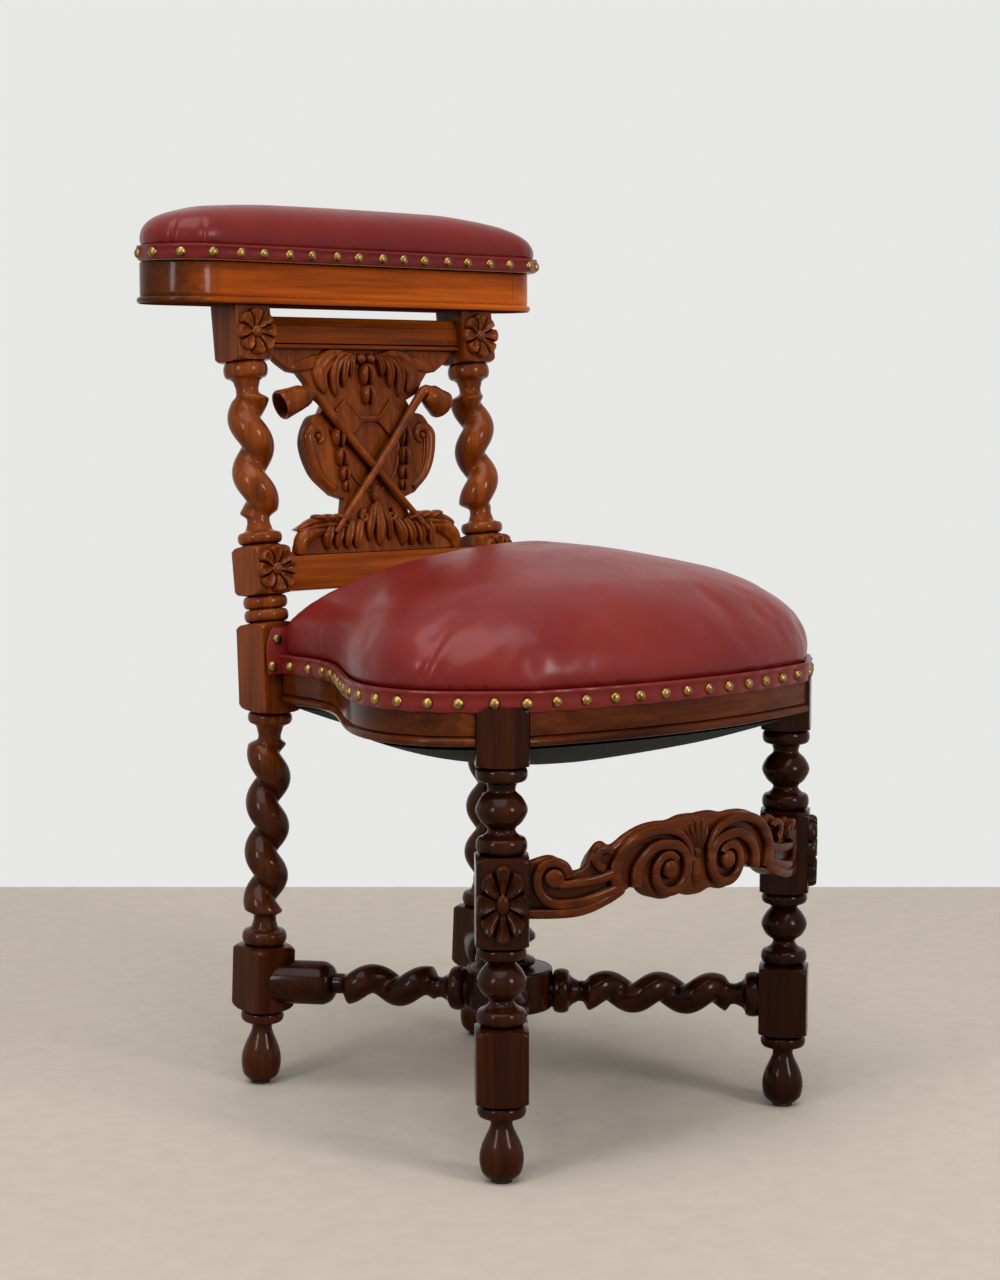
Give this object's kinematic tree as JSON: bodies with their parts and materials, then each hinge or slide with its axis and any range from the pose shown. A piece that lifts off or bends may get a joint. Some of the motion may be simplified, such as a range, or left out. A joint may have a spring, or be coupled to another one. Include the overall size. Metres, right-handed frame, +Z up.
{
  "type": "carved smoker's chair",
  "caption": "Carved smoker's chair with barley-twist posts and stretchers, a waisted sprung leather seat, a splat carved with crossed pipes and a padded lid over a tobacco box.",
  "frame": {"origin": "on the floor, under the middle of the chair's box", "axes": "+Z up, -Y towards the front of the seat, +Y towards the back with the box, +X to the right seen from the front"},
  "size_m": [0.483, 0.5303, 0.818],
  "materials": {
    "varnished_oak": "glossy brown varnish",
    "honey_oak": "glossy honey varnish",
    "softwood": "bare board",
    "burgundy_leather": "satin leather",
    "aged_brass": "aged brass",
    "spring_steel": "dull wire",
    "dark_iron": "dark iron",
    "jute_webbing": "woven jute",
    "black_cloth": "black cotton"
  },
  "bodies": {
    "frame": {"back_lower_rail": "varnished_oak", "back_seat_rail": "varnished_oak", "back_upper_rail": "varnished_oak", "box_end_left": "honey_oak", "box_end_right": "honey_oak", "box_floor": "honey_oak", "box_wall_back": "honey_oak", "box_wall_front": "honey_oak", "dust_cover": "black_cloth", "front_leg_left": "varnished_oak", "front_leg_right": "varnished_oak", "front_rail": "varnished_oak", "front_stretcher": "varnished_oak", "glide_front_left": "dark_iron", "glide_front_right": "dark_iron", "glide_rear_left": "dark_iron", "glide_rear_right": "dark_iron", "hinge_box_leaf_left": "aged_brass", "hinge_box_leaf_right": "aged_brass", "hinge_pin_left": "aged_brass", "hinge_pin_right": "aged_brass", "pipe_left": "varnished_oak", "pipe_right": "varnished_oak", "rear_post_left": "varnished_oak", "rear_post_right": "varnished_oak", "rosette_leg_left": "varnished_oak", "rosette_leg_right": "varnished_oak", "rosette_lower_left": "varnished_oak", "rosette_lower_right": "varnished_oak", "rosette_upper_left": "varnished_oak", "rosette_upper_right": "varnished_oak", "seat_band": "burgundy_leather", "seat_cushion": "burgundy_leather", "side_rail_left": "varnished_oak", "side_rail_right": "varnished_oak", "splat": "varnished_oak", "spring_1": "spring_steel", "spring_2": "spring_steel", "spring_3": "spring_steel", "spring_4": "spring_steel", "spring_5": "spring_steel", "stretcher_arm_front_left": "varnished_oak", "stretcher_arm_front_right": "varnished_oak", "stretcher_arm_rear_left": "varnished_oak", "stretcher_arm_rear_right": "varnished_oak", "stretcher_hub": "varnished_oak", "webbing_cross_1": "jute_webbing", "webbing_cross_2": "jute_webbing", "webbing_cross_3": "jute_webbing", "webbing_long_1": "jute_webbing", "webbing_long_2": "jute_webbing", "webbing_long_3": "jute_webbing"},
    "lid": {"lid_board": "softwood", "lid_band": "burgundy_leather", "lid_cushion": "burgundy_leather", "hinge_lid_leaf_left": "aged_brass", "hinge_lid_leaf_right": "aged_brass"}
  },
  "joints": [
    {"name": "lid_hinge", "type": "hinge", "parent": "frame", "child": "lid", "pos_m": [0, 0.26215, 0.76315], "axis": [-1, 0, 0], "range_deg": [0, 100]}
  ]
}
